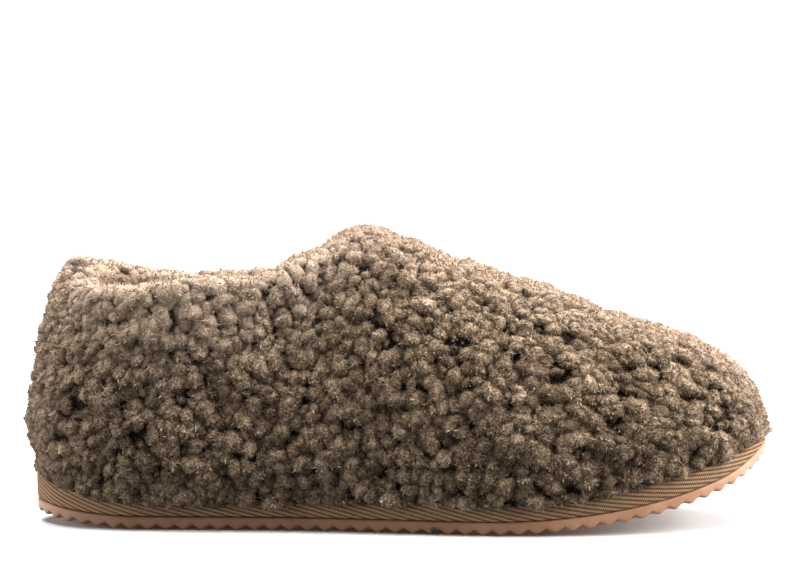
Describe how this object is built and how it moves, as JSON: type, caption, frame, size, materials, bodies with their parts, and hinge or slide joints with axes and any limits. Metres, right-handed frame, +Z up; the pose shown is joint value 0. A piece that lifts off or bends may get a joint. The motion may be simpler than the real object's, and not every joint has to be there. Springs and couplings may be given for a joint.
{
  "type": "slipper_boot",
  "caption": "Low slipper boot for the right foot in curly taupe shearling, with a rolled collar, a woven tape round its platform and a ribbed gum-rubber outsole",
  "frame": {"origin": "on the floor under the middle of the slipper's bounding box", "axes": "+X from heel to toe, +Y towards the inner side of the foot, +Z up"},
  "size_m": [0.2786, 0.11, 0.1054],
  "materials": {
    "gum_rubber": "satin gum rubber",
    "platform_core": "matt foamed rubber",
    "twill_tape": "coarse cotton twill",
    "wool_footbed": "short wool pile",
    "curly_shearling": "deep curly wool pile"
  },
  "bodies": {
    "root": {"outsole": "gum_rubber", "midsole": "platform_core", "platform_tape": "twill_tape", "insole": "wool_footbed", "upper": "curly_shearling"}
  },
  "joints": []
}
